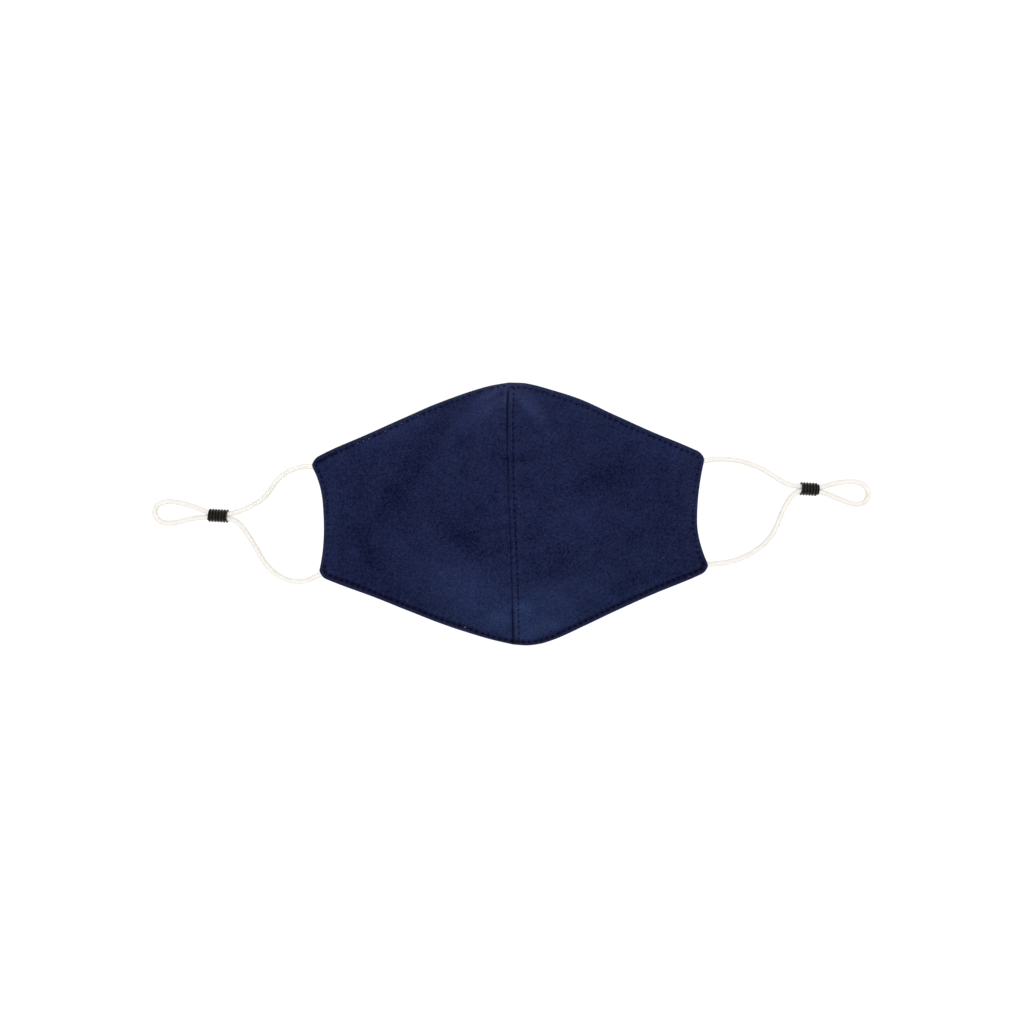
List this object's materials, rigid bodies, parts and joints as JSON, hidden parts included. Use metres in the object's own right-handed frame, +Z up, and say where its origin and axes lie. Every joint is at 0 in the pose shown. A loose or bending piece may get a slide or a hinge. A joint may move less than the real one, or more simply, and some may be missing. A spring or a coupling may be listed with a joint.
{
  "type": "cloth face mask",
  "caption": "Contoured cloth face mask with a curved centre seam, round elastic ear cords and ribbed rubber cord adjusters, lying outer side up.",
  "frame": {"origin": "middle of the two cloth panels' box, on the surface that the mask lies on", "axes": "+X from ear to ear towards the picture's right, +Y from the chin edge to the nose edge, +Z up through the outer side of the mask"},
  "size_m": [0.4086, 0.1495, 0.0318],
  "materials": {
    "cotton": "brushed plain cotton, navy",
    "elastic": "braided round elastic, off-white",
    "rubber": "moulded, satin, black"
  },
  "bodies": {
    "root": {"left_panel": "cotton", "right_panel": "cotton", "left_ear_cord": "elastic", "right_ear_cord": "elastic", "left_cord_adjuster": "rubber", "right_cord_adjuster": "rubber"}
  },
  "joints": []
}
